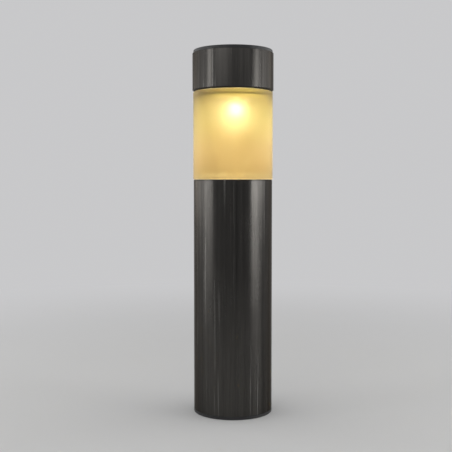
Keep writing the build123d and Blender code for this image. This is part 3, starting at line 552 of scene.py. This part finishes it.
def make_electric_parts():
    """The solar cells, the boards, the choke, and the capacitor's and battery's cans."""
    return (
        (make_cells(), "solar_cells"),
        (make_board("panel_laminate", (0.012, 0.016, 0.020), (0.030, 0.038, 0.045), PANEL_TRACE_PITCH),
         "panel_board"),
        (make_board("circuit_laminate", (0.010, 0.085, 0.035), (0.030, 0.190, 0.080), BOARD_TRACE_PITCH),
         "control_board"),
        (make_wound_core(), "inductor"),
        (make_can("capacitor_can", (0.020, 0.030, 0.070), (0.70, 0.70, 0.71), 2,
                  capacitor_low.z + CAPACITOR_RIM[0], capacitor_high.z - CAPACITOR_RIM[1],
                  stripe=capacitor_x + CAPACITOR_STRIPE),
         "capacitor"),
        (make_can("battery_wrap", (0.05, 0.20, 0.09), (0.66, 0.66, 0.66), 0,
                  battery_low.x + BATTERY_RIM[0], battery_high.x - BATTERY_RIM[1]),
         "battery_cell"),
    )


def make_outside():
    """The outer pieces with a finish of their own, and the lamp with the plate that it lights up."""
    return (
        (make_steel(), "body_tube", "cap_sleeve"),
        (make_lens(), "diffuser"),
        (make_stake_plastic(), "ground_stake"),
        (make_milky_plastic(), "base_plate"),
        (make_lamp_resin(), "led_lamp"),
        (make_window(), "panel_window"),
    )


for made, *nodes in make_outside() + make_plain_plastics() + make_plated_metals() + make_electric_parts():
    for node in nodes:
        for material_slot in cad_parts[node].material_slots:
            material_slot.material = made


# ---------------------------------------------------------------- scene
def link(name, data):
    holder = bpy.data.objects.new(name, data)
    bpy.context.scene.collection.objects.link(holder)
    return holder


def studio_tone(t, y):
    """The studio's grey for a direction's y: darker on the front side (-Y)."""
    return t.mix(t.spread(y, -1.0, 0.4, smooth=True), STUDIO_FRONT, STUDIO_BACK)


def make_floor():
    """A wide pale floor that passes into the studio's grey far away."""
    mesh = bpy.data.meshes.new("floor")
    form = bmesh.new()
    bmesh.ops.create_circle(form, cap_ends=True, radius=FLOOR_RADIUS, segments=96)
    form.to_mesh(mesh)
    form.free()
    floor = link("floor", mesh)
    made, t = material("floor")
    point = t.place()
    mottle = t.noise(point, scale=3.0, detail=4.0)
    near = t.shader(Base_Color=t.mix(mottle, FLOOR_DARK, FLOOR_PALE), Roughness=0.85, Specular_IOR_Level=0.2)
    direction = t.add("ShaderNodeVectorMath", operation="NORMALIZE")
    t.join(point, direction.inputs[0])
    far = t.add("ShaderNodeEmission")
    t.join(studio_tone(t, t.axes(direction.outputs[0])[1]), far.inputs["Color"])
    blend = t.add("ShaderNodeMixShader")
    t.join(t.spread(t.distance(point), *FLOOR_BLEND, smooth=True), blend.inputs[0])
    t.join(near, blend.inputs[1])
    t.join(far.outputs[0], blend.inputs[2])
    t.surface(blend.outputs[0])
    mesh.materials.append(made)


def make_world():
    """Plain studio air in the studio's grey."""
    world = bpy.data.worlds.new("studio")
    world.use_nodes = True
    t = Tree(world.node_tree)
    direction = t.axes(t.add("ShaderNodeTexCoord").outputs["Generated"])
    air = t.add("ShaderNodeBackground")
    t.join(studio_tone(t, direction[1]), air.inputs["Color"])
    t.join(air.outputs[0], t.add("ShaderNodeOutputWorld").inputs["Surface"])
    bpy.context.scene.world = world


def make_strip(name, bearing, width, profile):
    """An upright soft light facing the object. Bearing is in degrees, from the front (-Y) towards +X.

    profile has (height, radiance) pairs, lowest first.
    """
    bottom, top = profile[0][0], profile[-1][0]
    tall = top - bottom
    peak = max(radiance for height, radiance in profile)
    lamp = bpy.data.lights.new(name, "AREA")
    lamp.shape = "RECTANGLE"
    lamp.size = width
    lamp.size_y = tall
    lamp.energy = 1.0
    lamp.use_nodes = True
    t = Tree(lamp.node_tree)
    z = t.axes(t.add("ShaderNodeNewGeometry").outputs["Position"])[2]
    stops = [((height - bottom) / tall, brighter(WHITE, radiance / peak)) for height, radiance in profile]
    rise = t.ramp(t.spread(z, bottom, top), stops, "EASE")
    glow = t.add("ShaderNodeEmission")
    t.join(t.math("MULTIPLY", rise, POWER_PER_RADIANCE * width * tall * peak), glow.inputs["Strength"])
    t.join(glow.outputs[0], t.add("ShaderNodeOutputLight").inputs["Surface"])
    turn = math.radians(bearing)
    away = Vector((math.sin(turn), -math.cos(turn), 0.0))
    holder = link(name, lamp)
    holder.location = away * STRIP_DISTANCE + Vector((0.0, 0.0, (bottom + top) / 2))
    holder.rotation_mode = "QUATERNION"
    holder.rotation_quaternion = away.to_track_quat("Z", "Y")
    holder.visible_camera = False


def make_camera():
    camera = bpy.data.cameras.new("camera")
    camera.lens = CAMERA_LENS
    camera.sensor_width = CAMERA_SENSOR
    camera.clip_start, camera.clip_end = CAMERA_CLIP
    holder = link("camera", camera)
    holder.location = CAMERA_PLACE
    holder.rotation_euler = (math.pi / 2 - CAMERA_PITCH, 0.0, CAMERA_YAW)
    bpy.context.scene.camera = holder


make_floor()
make_world()
for strip in STRIPS:
    make_strip(*strip)
make_camera()
bpy.context.scene.view_settings.view_transform = "Standard"
